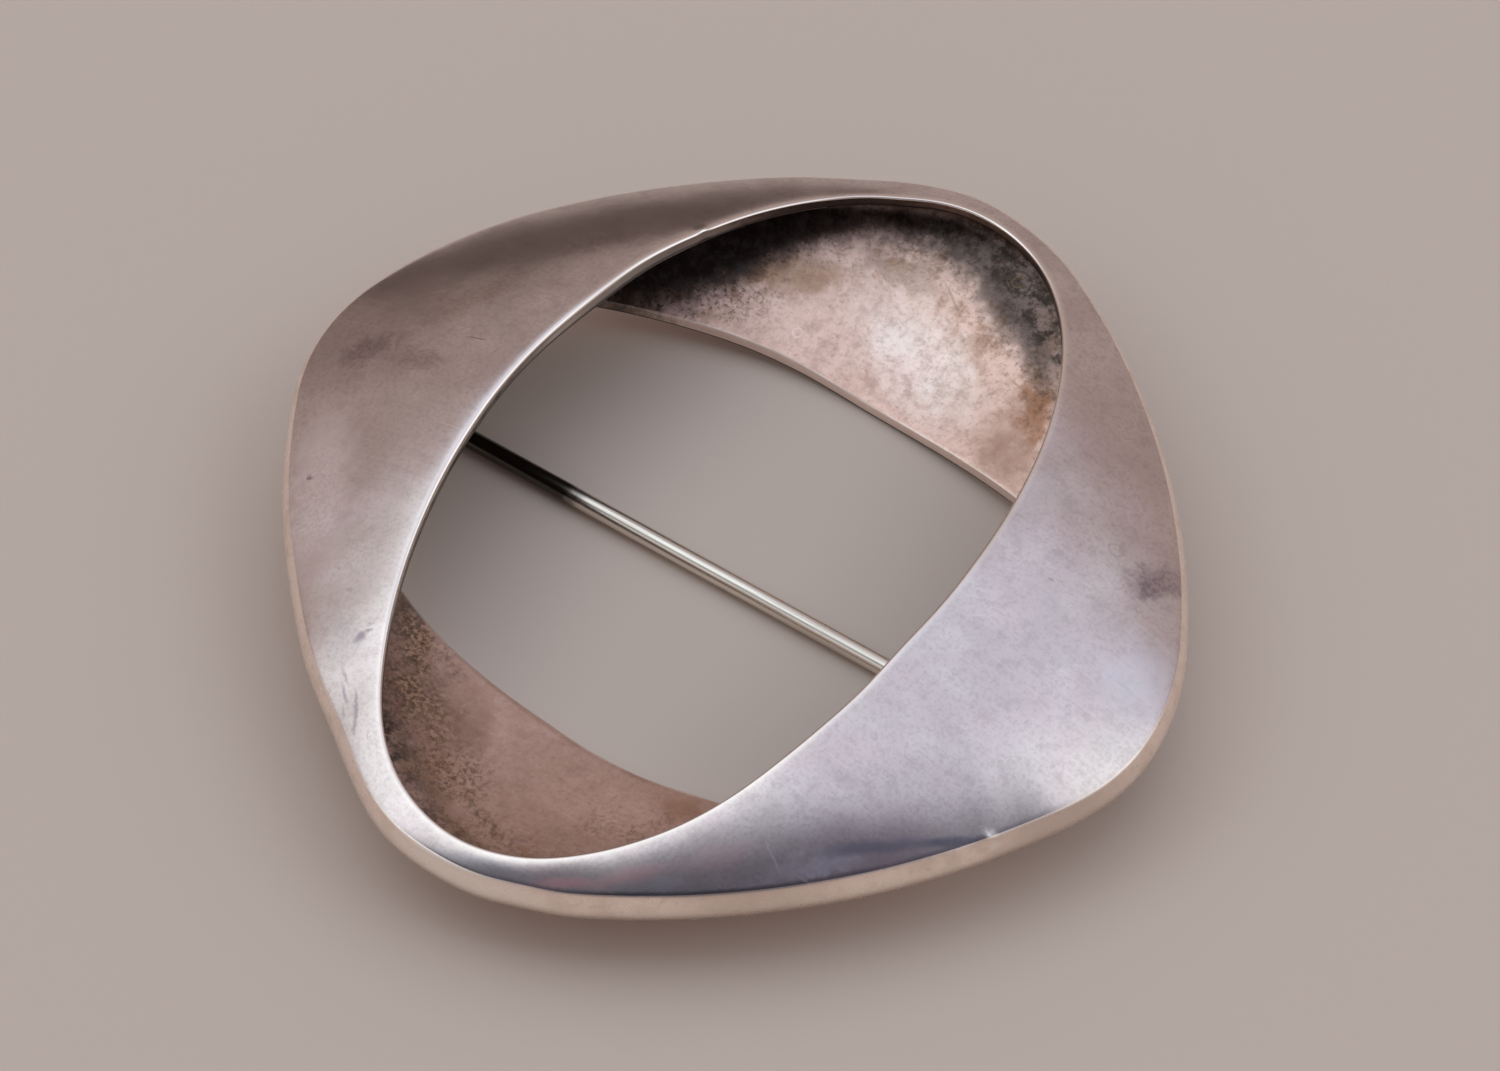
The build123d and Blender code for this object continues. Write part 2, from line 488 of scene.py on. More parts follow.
# Small burrs on the front's edges: each rises in the middle of an oval and dies away as a bell curve
burrs = table(
    "x y long wide turn rise",
    (23.55, -9.75, 0.50, 0.22, 0, 0.10),
    (-11.8, 14.5, 0.45, 0.30, -20, 0.12),
)


def burrRise(x, y):
    rise = np.zeros_like(x)
    for burr in burrs:
        turn = math.radians(burr["turn"])
        aside, ahead = x - burr["x"], y - burr["y"]
        along = (aside * math.cos(turn) + ahead * math.sin(turn)) / burr["long"]
        across = (ahead * math.cos(turn) - aside * math.sin(turn)) / burr["wide"]
        rise += burr["rise"] * np.exp(-along ** 2 - across ** 2)
    return rise


# Faces of a grid of points whose rows close on themselves. A ring's last row joins its first one;
# any other grid is closed by a flat face at each end.
def gridFaces(rows, columns, ring):
    number = np.arange(rows * columns).reshape(rows, columns)
    here = number if ring else number[:-1]
    after = np.roll(number, -1, 0) if ring else number[1:]
    faces = np.stack([here, np.roll(here, -1, 1), np.roll(after, -1, 1), after], axis=-1)
    faces = faces.reshape(-1, 4).tolist()
    if not ring:
        faces += [number[0, ::-1].tolist(), number[-1].tolist()]
    return faces


# One piece made of closed shells, each a grid of points. It takes the place of a node of the frame.
def makePiece(name, shells, materials, node, body):
    points, faces, start = [], [], 0
    for shell in shells:
        grid = shell["grid"]
        points.append(grid.reshape(-1, 3) * mm)
        faces += [[corner + start for corner in face] for face in gridFaces(*grid.shape[:2], shell["ring"])]
        start += grid.shape[0] * grid.shape[1]
    mesh = bpy.data.meshes.new(name)
    mesh.from_pydata(np.concatenate(points).tolist(), [], faces)
    mesh.polygons.foreach_set("use_smooth", [len(face) == 4 for face in faces])
    work = bmesh.new()
    work.from_mesh(mesh)
    bmesh.ops.recalc_face_normals(work, faces=work.faces)
    work.to_mesh(mesh)
    work.free()
    for material in materials:
        mesh.materials.append(material)
    piece = bpy.data.objects.new(name, mesh)
    bpy.context.scene.collection.objects.link(piece)
    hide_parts(node)
    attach(piece, body)
    print(name, "made, faces:", len(faces))
    return piece


# Every finish is a dictionary of settings. Noise scales are per metre, so 1000 is about a millimetre.
# A fade is (start, end, low, high), from 0 to 1 where the last two are left out. The roughness wavers
# about its value, and the relief is in millimetres.
def startMaterial(name, finish):
    material = bpy.data.materials.new(name)
    material.use_nodes = True
    shader = material.node_tree.nodes["Principled BSDF"]
    shader.inputs["Metallic"].default_value = finish["metallic"]
    write = NodeWriter(material.node_tree)
    where = write.add("ShaderNodeTexCoord").outputs["Object"]
    return material, shader, write, where, write.noises(where, finish["noises"])


def layNoises(write, noise, colour, finish):
    for row in finish["layers"]:
        share = write.fade(noise[row["noise"]], row["starts"], row["ends"], 0.0, row["depth"])
        colour = write.mix(share, colour, finish[row["colour"]])
    return colour


# The roughness is its value, up or down by half the waver with a noise, and the relief is a noise
def endMaterial(write, shader, finish, colour, wavering, relief):
    waver = finish["waver"]
    roughness = write.sum("MULTIPLY_ADD", wavering, waver, finish["roughness"] - waver / 2)
    bump = {"Height": relief, "Strength": finish["reliefStrength"], "Distance": finish["relief"] * mm}
    write.put(shader.inputs["Base Color"], colour)
    write.put(shader.inputs["Roughness"], roughness)
    write.put(shader.inputs["Normal"], write.add("ShaderNodeBump", bump).outputs["Normal"])


# How soft the edges of oval patches and of thin rings are, as shares of their own size
ovalEdges = {"patch": (0.2, 1.0), "ring": (0.05, 0.22)}


# How far out a place is from the middle of an oval, where 1 is its edge. The oval's place, half
# sizes and turn are seen from above.
def ovalShare(write, where, row):
    inputs = {"Vector": where, "Location": (row["x"] * mm, row["y"] * mm, 0.0),
              "Rotation": (0.0, 0.0, math.radians(row["turn"])),
              "Scale": (row["long"] * mm, row["wide"] * mm, 1.0)}
    inside = write.add("ShaderNodeMapping", inputs, vector_type="TEXTURE").outputs["Vector"]
    return write.vector("LENGTH", inside)


# Each row of a table lays one soft oval patch of a colour over what is there, broken up by the grain
def layPatches(write, where, colour, rows, grain=1.0):
    for row in rows:
        share = write.fade(ovalShare(write, where, row), *ovalEdges["patch"], row["depth"], 0.0)
        colour = write.mix(write.sum("MULTIPLY", share, grain), colour, row["colour"])
    return colour


# Thin rings: full where the distance from the middle is 1, and nothing about a fifth away from that
def layRings(write, where, colour, rows):
    for row in rows:
        away = write.sum("ABSOLUTE", write.sum("SUBTRACT", ovalShare(write, where, row), 1.0))
        colour = write.mix(write.fade(away, *ovalEdges["ring"], row["depth"], 0.0), colour, row["colour"])
    return colour


frontFinish = {
    "bright": (0.765, 0.68, 0.66),
    "dull": (0.66, 0.575, 0.555),
    "speck": (0.46, 0.385, 0.375),
    "rose": (0.71, 0.575, 0.585),
    "polished": (0.97, 0.88, 0.81),
    "polishedAlong": "frontGap",
    "polishedFade": (0.0, 0.6, 0.9, 0.0),
    "seam": (0.17, 0.165, 0.18),
    "seamFade": (0.26, 0.46, 1.0, 0.0),
    "seamWaver": 0.2,
    "metallic": 1.0,
    "roughness": 0.165,
    "waver": 0.10,
    "reliefStrength": 0.10,
    "relief": 0.012,
    "noises": noiseTable(
        ("clouds", 240, 3.0, 0.55, 0.3, None, 0),
        ("mottle", 1200, 6.0, 0.75, 0.0, None, 0),
        ("tint", 190, 3.0, 0.6, 0.5, (1.0, 1.0, 1.0), 40),
        ("fine", 4200, 3.0, 0.65, 0.0, None, 0),
    ),
    "layers": layerTable(
        ("clouds", 0.36, 0.66, 1.0, "dull"),
        ("tint", 0.42, 0.66, 0.45, "rose"),
        ("mottle", 0.46, 0.70, 0.42, "speck"),
        ("fine", 0.46, 0.66, 0.3, "speck"),
    ),
    "stainAndReflectionGrain": (0.42, 0.58, 0.72, 1.12),
    "stainAndReflectionEdges": {"scale": 1100, "reach": 2.2},
    "streakEdges": {"scale": 900, "reach": 0.5},
    "markEdges": {"scale": 3500, "reach": 0.35},
    "ringEdges": {"scale": 1500, "reach": 0.15},
    # Oval patches over the front: the brown and purple ones are tarnish stains, the pale bands at (10.0,
    # -22.5) and (17.0, -16.3) along the lower rim are painted reflections, and the rest lighten or darken it
    "stainsAndReflections": ovalTable(
        (-23.0, -2.6, 2.5, 1.4, 50, 0.55, (0.27, 0.19, 0.21)),
        (-19.6, -2.2, 2.4, 1.2, 12, 0.42, (0.30, 0.22, 0.22)),
        (-19.6, 3.6, 4.6, 1.3, 66, 0.26, (0.36, 0.23, 0.17)),
        (-16.4, 10.5, 4.0, 0.9, 52, 0.24, (0.34, 0.22, 0.17)),
        (22.0, 8.9, 2.6, 1.7, 60, 0.62, (0.27, 0.19, 0.22)),
        (21.9, 8.2, 1.0, 0.7, 80, 0.4, (0.2, 0.17, 0.18)),
        (17.5, 9.5, 4.5, 3.0, 100, 0.18, (0.42, 0.31, 0.27)),
        (-19.4, -12.0, 7.5, 2.8, -60, 0.8, (0.97, 0.91, 0.94)),
        (24.6, 3.0, 3.8, 2.6, 80, 0.45, (0.73, 0.72, 0.76)),
        (25.7, -1.1, 3.2, 1.7, 85, 0.35, (0.45, 0.41, 0.42)),
        (17.9, -10.3, 4.0, 2.2, 45, 0.32, (0.45, 0.41, 0.41)),
        (-12.5, -19.0, 2.4, 1.7, -40, 0.35, (0.48, 0.43, 0.46)),
        (10.0, -22.5, 3.4, 0.9, 36, 0.35, (0.95, 0.90, 0.92)),
        (17.0, -16.3, 3.4, 0.9, 42, 0.65, (1.0, 0.95, 0.97)),
    ),
    # The streaks along the lower rim, pink and dark blue-grey, are painted reflections
    "streaks": ovalTable(
        (6.3, -24.75, 3.0, 0.45, 34, 0.85, (1.0, 0.62, 0.60)),
        (9.2, -22.4, 3.0, 0.65, 46, 0.7, (1.0, 0.66, 0.65)),
        (12.3, -19.2, 3.0, 0.9, 48, 0.45, (0.95, 0.66, 0.68)),
        (17.8, -16.6, 3.6, 0.34, 43, 0.9, (1.0, 0.72, 0.69)),
        (20.6, -13.5, 2.6, 0.3, 45, 0.7, (1.0, 0.72, 0.69)),
        (18.7, -13.9, 4.6, 0.5, 43, 0.6, (0.30, 0.31, 0.39)),
        (21.7, -11.2, 2.4, 0.4, 42, 0.75, (0.24, 0.26, 0.32)),
        (2.2, -26.1, 4.4, 0.6, 15, 0.42, (0.33, 0.34, 0.39)),
        (11.0, -22.2, 4.4, 0.4, 38, 0.25, (0.36, 0.35, 0.40)),
    ),
    # The bright marks at (-11.8, 14.5) and (23.3, -9.6) are painted highlights on the burrs, and the dark one
    # at (23.7, -9.15) is the burr's painted shade; the rest are small scratches and spots
    "marks": ovalTable(
        (-17.6, 0.45, 0.85, 0.09, 14, 0.8, (0.33, 0.22, 0.18)),
        (-21.9, -1.7, 0.8, 0.25, -60, 0.4, (0.85, 0.78, 0.74)),
        (-22.1, 2.9, 0.7, 0.2, 30, 0.35, (0.85, 0.78, 0.74)),
        (-18.7, 13.1, 0.6, 0.2, 60, 0.4, (0.85, 0.78, 0.74)),
        (-22.3, 8.25, 0.5, 0.2, 60, 0.35, (0.85, 0.78, 0.74)),
        (-11.8, 14.5, 0.7, 0.4, -20, 1.0, (1.0, 0.97, 0.92)),
        (-11.57, -18.56, 0.6, 0.4, 70, 0.75, (0.26, 0.22, 0.25)),
        (-11.3, -18.05, 0.32, 0.2, 40, 0.6, (0.26, 0.22, 0.25)),
        (-11.5, -17.7, 0.4, 0.14, 20, 0.45, (0.3, 0.26, 0.28)),
        (-20.7, -11.2, 0.28, 0.22, 0, 0.7, (0.25, 0.18, 0.18)),
        (-13.9, -16.4, 0.3, 0.25, 0, 0.35, (0.33, 0.26, 0.26)),
        (-10.9, -20.8, 0.8, 0.14, -36, 0.5, (0.3, 0.26, 0.3)),
        (-10.4, -21.6, 1.0, 0.16, -40, 0.65, (0.3, 0.26, 0.3)),
        (-9.6, -21.6, 0.9, 0.14, -48, 0.6, (0.3, 0.26, 0.3)),
        (-9.1, -22.3, 1.0, 0.18, -52, 0.7, (0.3, 0.26, 0.3)),
        (-8.7, -23.0, 0.8, 0.15, -52, 0.6, (0.3, 0.26, 0.3)),
        (-9.8, -22.5, 0.6, 0.1, -50, 0.45, (0.3, 0.26, 0.3)),
        (-7.7, -23.1, 0.5, 0.12, -50, 0.35, (0.3, 0.26, 0.3)),
        (17.9, 4.6, 0.22, 0.2, 0, 0.5, (0.35, 0.28, 0.29)),
        (14.7, -17.45, 1.3, 0.09, -30, 0.6, (1.0, 0.95, 0.93)),
        (16.6, -17.4, 0.6, 0.09, 8, 0.6, (1.0, 0.95, 0.93)),
        (23.3, -9.6, 0.5, 0.22, -20, 0.9, (1.0, 0.97, 0.94)),
        (23.7, -9.15, 0.5, 0.2, 40, 0.9, (0.2, 0.15, 0.13)),
    ),
    "rings": ovalTable((19.34, 9.0, 0.42, 0.38, 0, 0.32, (0.4, 0.33, 0.33))),
    "scratches": table(
        "turn depth colour",
        (25, 0.18, (0.95, 0.9, 0.88)),
        (-58, 0.11, (0.95, 0.9, 0.88)),
        (80, 0.2, (0.42, 0.35, 0.35)),
    ),
}


# Rare long scratches along X, cut out of a noise that is drawn out along them. The turn gives each
# row its own pattern.
scratchLines = {
    "name": "lines",
    "scale": 210,
    "detail": 2.0,
    "roughness": 0.5,
    "distortion": 0.0,
    "stretch": (1.0, 34.0, 1.0),
    "edge": (0.66, 0.74),
}


def layScratches(write, where, colour, rows):
    for row in rows:
        lines = write.noises(where, [dict(scratchLines, turn=row["turn"])])["lines"]
        colour = write.mix(write.fade(lines, *scratchLines["edge"], 0.0, row["depth"]), colour, row["colour"])
    return colour


def frontSilver(name, finish):
    material, shader, write, where, noise = startMaterial(name, finish)
    ragged = write.wander(where, **finish["stainAndReflectionEdges"])
    colour = layNoises(write, noise, finish["bright"], finish)
    # tarnish stains, and painted reflections along the lower rim
    grain = write.fade(noise["fine"], *finish["stainAndReflectionGrain"])
    colour = layPatches(write, ragged, colour, finish["stainsAndReflections"], grain)
    # painted reflections: pink and dark streaks along the lower rim
    colour = layPatches(write, write.wander(where, **finish["streakEdges"]), colour, finish["streaks"])
    colour = layScratches(write, where, colour, finish["scratches"])
    polished = write.fade(write.attribute(finish["polishedAlong"]), *finish["polishedFade"])
    colour = write.mix(polished, colour, finish["polished"])
    # the dark line along the band has an uneven edge
    fromRim = write.sum("MULTIPLY_ADD", noise["fine"], finish["seamWaver"], write.attribute("rimGap"))
    seam = write.sum("MULTIPLY", write.fade(fromRim, *finish["seamFade"]), write.attribute("seamDepth"))
    colour = write.mix(seam, colour, finish["seam"])
    # marks, with painted highlights and shade on the burrs
    colour = layPatches(write, write.wander(where, **finish["markEdges"]), colour, finish["marks"])
    colour = layRings(write, write.wander(where, **finish["ringEdges"]), colour, finish["rings"])
    endMaterial(write, shader, finish, colour, noise["mottle"], noise["fine"])
    return material


bandFinish = {
    "bright": (1.0, 0.87, 0.79),
    "dull": (0.86, 0.73, 0.64),
    "speck": (0.55, 0.43, 0.36),
    "low": (0.60, 0.48, 0.41),
    "lowStartsBelowFront": 0.9,
    "lowEndsAboveBack": 0.4,
    "lowDepth": 0.6,
    "marksEndBelowFront": 0.8,
    "marksFullBelowFront": 0.4,
    "metallic": 1.0,
    "roughness": 0.28,
    "waver": 0.16,
    "reliefStrength": 0.03,
    "relief": 0.02,
    "noises": noiseTable(
        ("mottle", 600, 5.0, 0.65, 0.0, None, 0),
        ("specks", 2600, 3.0, 0.6, 0.0, None, 0),
        ("grain", 2600, 3.0, 0.6, 0.0, (1.0, 1.0, 6.0), 0),
    ),
    "layers": layerTable(
        ("mottle", 0.42, 0.7, 1.0, "dull"),
        ("specks", 0.58, 0.74, 0.3, "speck"),
    ),
    "tones": ovalTable(
        (1.0, -27.4, 6.5, 5.0, 10, 0.9, (1.0, 0.93, 0.86)),
        (15.5, -20.0, 6.0, 4.0, 40, 0.65, (0.74, 0.63, 0.56)),
        (26.2, -6.5, 6.0, 4.0, 70, 0.9, (0.74, 0.63, 0.565)),
    ),
    # A painted highlight and a rose painted reflection of the burr on the rim
    "marks": ovalTable(
        (23.75, -9.7, 0.6, 0.4, 55, 0.8, (1.0, 0.95, 0.92)),
        (23.4, -10.4, 0.6, 0.4, 50, 0.6, (0.66, 0.42, 0.35)),
    ),
}


# Painted shade darkens the band towards its lower edge, and its marks, a painted highlight and reflection of
# the rim's burr, lie along its upper edge
def bandSilver(name, finish):
    material, shader, write, where, noise = startMaterial(name, finish)
    height = write.add("ShaderNodeSeparateXYZ", {"Vector": where}).outputs["Z"]
    colour = layNoises(write, noise, finish["bright"], finish)
    colour = layPatches(write, where, colour, finish["tones"])
    # painted shade towards the band's lower edge
    starts, ends = frontRimZ - finish["lowStartsBelowFront"], backRimZ + finish["lowEndsAboveBack"]
    paintedLowShade = write.fade(height, starts * mm, ends * mm, 0.0, finish["lowDepth"])
    colour = write.mix(paintedLowShade, colour, finish["low"])
    # the marks are a painted highlight and reflection of the burr on the rim
    starts, ends = frontRimZ - finish["marksEndBelowFront"], frontRimZ - finish["marksFullBelowFront"]
    colour = layPatches(write, where, colour, finish["marks"], write.fade(height, starts * mm, ends * mm))
    endMaterial(write, shader, finish, colour, noise["mottle"], noise["grain"])
    return material


insideFinish = {
    "upper": (0.86, 0.61, 0.525),
    "lower": (0.61, 0.405, 0.33),
    "dull": (0.41, 0.25, 0.195),
    "pale": (1.0, 0.86, 0.79),
    "rust": (0.42, 0.235, 0.135),
    "speck": (0.15, 0.105, 0.075),
    "patinaAndShade": (0.048, 0.035, 0.030),
    "thinPatinaAndShade": (0.112, 0.092, 0.088),
    "fleck": (0.17, 0.125, 0.10),
    "wornFade": (0.02, 0.2, 0.75, 0.0),
    "halfwayFade": (-2.0, 2.0),
    "rustFade": (0.46, 0.62),
    "rustNearPatinaAndShade": (-0.16, -0.02, 0.12, 0.7),
    "gathered": (0.40, 0.58, 0.35, 1.0),
    "fleckFade": (0.52, 0.38),
    "gritFade": (0.42, 0.62),
    "speckFade": (0.54, 0.62, 0.0, 0.85),
    "specksNearPatinaAndShade": (-0.16, 0.0),
    "patinaAndShadeWaver": {"clouds": 0.10, "mottle": 0.09, "fine": 0.03},
    "patinaAndShadeFade": (0.045, 0.150),
    "patinaAndShadeMottle": (0.42, 0.60),
    "patinaAndShadeTone": (0.44, 0.62),
    "wipedFade": (0.46, 0.62),
    "wipedWhereThin": (0.96, 0.7, 0.12, 1.0),
    "wipedColour": 0.6,
    "wipedOff": 0.18,
    "metallic": 0.92,
    "roughness": 0.405,
    "waver": 0.25,
    "reliefStrength": 0.2,
    "relief": 0.03,
    "noises": noiseTable(
        ("clouds", 420, 5.0, 0.7, 0.0, None, 0),
        ("mottle", 1000, 6.0, 0.78, 0.0, None, 0),
        ("fine", 3300, 4.0, 0.7, 0.0, None, 0),
        ("streaks", 620, 6.0, 0.8, 0.0, (1.0, 2.2, 1.0), 0),
    ),
    "layers": layerTable(
        ("mottle", 0.45, 0.68, 0.42, "dull"),
        ("mottle", 0.47, 0.34, 0.12, "pale"),
        ("fine", 0.48, 0.70, 0.38, "dull"),
    ),
    "patchEdges": {"scale": 900, "reach": 2.4},
    "markEdges": {"scale": 2500, "reach": 0.15},
    "ringEdges": {"scale": 1500, "reach": 0.4},
    # The first four patches are a painted reflection, the glow of a light on the far side of the hollow; the
    # rest lighten or darken the tarnish
    "patches": ovalTable(
        (0.6, 18.2, 7.5, 3.6, -22, 0.75, (1.0, 0.83, 0.765)),
        (-1.2, 18.7, 2.4, 1.7, -30, 0.4, (1.0, 0.90, 0.83)),
        (2.6, 19.2, 2.4, 1.5, -50, 0.35, (1.0, 0.90, 0.84)),
        (2.4, 17.0, 1.8, 1.1, -10, 0.4, (1.0, 0.90, 0.84)),
        (8.2, 18.6, 2.8, 1.7, -60, 0.95, (0.40, 0.19, 0.105)),
        (9.2, 16.8, 1.8, 0.8, -60, 0.8, (0.46, 0.21, 0.11)),
        (8.3, 15.3, 3.8, 2.6, -60, 0.85, (0.50, 0.31, 0.24)),
        (-8.6, 18.6, 4.6, 1.7, 30, 0.75, (0.46, 0.28, 0.17)),
        (-3.6, 22.2, 4.6, 1.5, 2, 0.6, (0.38, 0.27, 0.22)),
        (3.4, 23.2, 3.8, 1.7, -28, 0.75, (0.24, 0.19, 0.185)),
        (6.8, 21.2, 2.8, 1.3, -48, 0.75, (0.24, 0.19, 0.19)),
        (-12.9, -13.2, 2.6, 1.3, -50, 0.75, (0.16, 0.11, 0.075)),
        (-10.9, -14.2, 2.4, 1.1, -50, 0.65, (0.40, 0.21, 0.12)),
        (6.6, -14.9, 2.8, 1.6, 10, 0.6, (0.44, 0.235, 0.14)),
        (-9.6, -17.4, 7.4, 3.6, -42, 0.75, (0.22, 0.118, 0.078)),
        (-5.4, -21.6, 4.4, 1.5, -24, 0.6, (0.16, 0.105, 0.075)),
        (-6.0, -18.4, 5.0, 2.6, -80, 0.65, (0.30, 0.17, 0.12)),
        (3.6, -17.2, 5.4, 3.0, 20, 0.7, (0.80, 0.55, 0.46)),
        (-8.6, 14.6, 3.2, 1.7, 20, 0.4, (0.66, 0.45, 0.38)),
    ),
    "flecks": ovalTable(
        (-11.2, -14.8, 5.6, 2.6, -52, 0.6, (0.62, 0.41, 0.28)),
        (-6.8, -18.6, 5.0, 2.8, -40, 0.4, (0.66, 0.43, 0.32)),
    ),
    "grit": ovalTable(
        (-0.8, -22.0, 3.4, 1.0, -16, 0.7, (0.18, 0.11, 0.08)),
        (-10.6, -15.8, 7.0, 3.2, -48, 0.9, (0.10, 0.064, 0.04)),
        (-5.0, -19.4, 5.0, 2.6, -40, 0.75, (0.13, 0.08, 0.055)),
        (6.2, -17.0, 5.0, 2.0, 35, 0.55, (0.20, 0.115, 0.075)),
        (-10.4, 15.6, 4.0, 2.0, 30, 0.55, (0.24, 0.11, 0.085)),
        (8.6, 19.0, 3.4, 1.8, -60, 0.7, (0.16, 0.09, 0.06)),
    ),
    "marks": ovalTable(
        (-3.7, 24.0, 1.5, 0.13, -9, 0.5, (0.45, 0.37, 0.33)),
        (0.3, 22.2, 1.8, 0.11, -34, 0.4, (0.26, 0.2, 0.2)),
        (-2.9, -21.1, 0.5, 0.14, -72, 0.5, (0.2, 0.13, 0.1)),
        (-2.3, -21.5, 0.6, 0.15, -64, 0.6, (0.2, 0.13, 0.1)),
        (-1.6, -21.8, 0.6, 0.16, -72, 0.55, (0.2, 0.13, 0.1)),
        (-0.9, -22.1, 0.65, 0.17, -64, 0.6, (0.2, 0.13, 0.1)),
        (-0.2, -22.25, 0.6, 0.17, -72, 0.6, (0.2, 0.13, 0.1)),
        (0.5, -22.4, 0.55, 0.16, -64, 0.55, (0.2, 0.13, 0.1)),
        (1.2, -22.6, 0.5, 0.15, -72, 0.5, (0.2, 0.13, 0.1)),
    ),
    "rings": ovalTable(
        (3.1, 24.65, 0.8, 0.6, 0, 0.45, (0.025, 0.02, 0.016)),
        (3.1, 24.65, 0.35, 0.3, 0, 0.5, (0.20, 0.13, 0.07)),
        (0.0, 15.9, 1.1, 1.0, 0, 0.18, (0.42, 0.3, 0.28)),
        (-6.4, 15.9, 0.3, 0.3, 0, 0.4, (1.0, 0.85, 0.82)),
    ),
}

# Under the front sheet it is evenly dark: black patina with painted shade
underFinish = dict(insideFinish, upper=(0.20, 0.155, 0.14), lower=(0.20, 0.155, 0.14),
                   dull=(0.09, 0.07, 0.06), pale=(0.28, 0.22, 0.20), wornFade=(0.02, 0.2, 0.0, 0.0),
                   patches=[], flecks=[], grit=[], marks=[], rings=[])


def insideSilver(name, finish):
    material, shader, write, where, noise = startMaterial(name, finish)
    ragged = write.wander(where, **finish["patchEdges"])
    patinaAndShadeGap, patinaAndShadeBlack = write.attribute("patinaAndShadeGap"), write.attribute("patinaAndShadeBlack")
    across = write.add("ShaderNodeSeparateXYZ", {"Vector": where}).outputs["Y"]
    starts, ends = finish["halfwayFade"]
    colour = write.mix(write.fade(across, starts * mm, ends * mm), finish["lower"], finish["upper"])
    # patches, the first four of them a painted reflection
    colour = layPatches(write, ragged, colour, finish["patches"])
    rusty = write.fade(noise["clouds"], *finish["rustFade"])
    rusty = write.sum("MULTIPLY", rusty, write.fade(patinaAndShadeGap, *finish["rustNearPatinaAndShade"]))
    colour = write.mix(rusty, colour, finish["rust"])
    colour = layNoises(write, noise, colour, finish)
    gathered = write.fade(noise["clouds"], *finish["gathered"])
    flecked = write.sum("MULTIPLY", write.fade(noise["fine"], *finish["fleckFade"]), gathered)
    gritty = write.sum("MULTIPLY", write.fade(noise["fine"], *finish["gritFade"]), gathered)
    colour = layPatches(write, ragged, colour, finish["flecks"], flecked)
    colour = layPatches(write, ragged, colour, finish["grit"], gritty)
    specks = write.fade(noise["fine"], *finish["speckFade"])
    specks = write.sum("MULTIPLY", specks, write.attribute("patinaSpecks"))
    specks = write.sum("MULTIPLY", specks, write.fade(patinaAndShadeGap, *finish["specksNearPatinaAndShade"]))
    colour = write.mix(specks, colour, finish["speck"])
    colour = write.mix(write.fade(write.attribute("backGap"), *finish["wornFade"]), colour, finish["pale"])
    colour = layPatches(write, write.wander(where, **finish["markEdges"]), colour, finish["marks"])
    # black patina with painted shade towards the rim
    colour = layPatinaAndShade(write, noise, colour, finish, patinaAndShadeGap, patinaAndShadeBlack)
    colour = layRings(write, write.wander(where, **finish["ringEdges"]), colour, finish["rings"])
    endMaterial(write, shader, finish, colour, noise["mottle"], noise["mottle"])
    return material


# The black patina and painted shade have an uneven edge. Where they are thin they are mottled, between full
# black and twice as thin, and wiped in streaks.
def layPatinaAndShade(write, noise, colour, finish, gap, black):
    for name, share in finish["patinaAndShadeWaver"].items():
        gap = write.sum("MULTIPLY_ADD", noise[name], share, gap)
    thinnest = write.sum("MULTIPLY_ADD", black, 2.0, -1.0)
    mottled = write.fade(noise["mottle"], *finish["patinaAndShadeMottle"], 1.0, thinnest)
    patinaAndShade = write.sum("MULTIPLY", write.fade(gap, *finish["patinaAndShadeFade"]), mottled)
    wiped = write.fade(noise["streaks"], *finish["wipedFade"])
    wiped = write.sum("MULTIPLY", wiped, write.fade(black, *finish["wipedWhereThin"]))
    tone = write.mix(write.fade(noise["mottle"], *finish["patinaAndShadeTone"]), finish["patinaAndShade"], finish["thinPatinaAndShade"])
    tone = write.mix(write.sum("MULTIPLY", wiped, finish["wipedColour"]), tone, finish["fleck"])
    left = write.sum("SUBTRACT", 1.0, write.sum("MULTIPLY", wiped, finish["wipedOff"]))
    return write.mix(write.sum("MULTIPLY", patinaAndShade, left), colour, tone)


plainFinish = {
    "shade": (0.03, 0.026, 0.023),
    "footFade": (0.12, 0.34, 0.0, 0.0),
    "metallic": 1.0,
    "waver": 0.14,
    "reliefStrength": 0.1,
    "relief": 0.02,
    "noises": noiseTable(
        ("mottle", 1500, 4.0, 0.6, 0.0, None, 0),
        ("clouds", 420, 3.0, 0.6, 0.0, None, 0),
    ),
    "layers": layerTable(
        ("mottle", 0.45, 0.75, 1.0, "dull"),
        ("clouds", 0.45, 0.7, 0.6, "dull"),
    ),
    "patches": [],
}

# The openings' walls are darkest along their foot
wallFinish = {
    **plainFinish,
    "bright": (0.26, 0.22, 0.195),
    "dull": (0.11, 0.088, 0.075),
    "roughness": 0.32,
    "footFade": (0.12, 0.34, 0.92, 0.0),
    "patches": ovalTable(
        (-12.5, 8.5, 11.0, 6.0, 65, 1.0, (0.80, 0.74, 0.69)),
        (-7.0, 21.5, 7.5, 4.0, 40, 0.85, (0.055, 0.045, 0.04)),
    ),
}


def plainSilver(name, finish):
    material, shader, write, where, noise = startMaterial(name, finish)
    colour = layNoises(write, noise, finish["bright"], finish)
    colour = layPatches(write, where, colour, finish["patches"])
    colour = write.mix(write.fade(write.attribute("footGap"), *finish["footFade"]), colour, finish["shade"])
    endMaterial(write, shader, finish, colour, noise["mottle"], noise["mottle"])
    return material


# Which runs of the body's section have which of its materials. The curve after a run is its corner.
runFinishes = table(
    "material runs",
    ("front", ("front", "frontEdgeCorner")),
    ("band", ("frontCorner", "band", "bandCorner")),
    ("back", ("back",)),
    ("wall", ("backCorner", "frontEdge")),
    ("inside", ("backEdge", "backEdgeCorner", "backInside", "backInsideCorner", "bandInside")),
    ("under", ("bandInsideCorner", "frontInside", "frontInsideCorner")),
)
plainBack = dict(frontFinish, polishedAlong="backGap", stainsAndReflections=[], streaks=[], marks=[], rings=[])


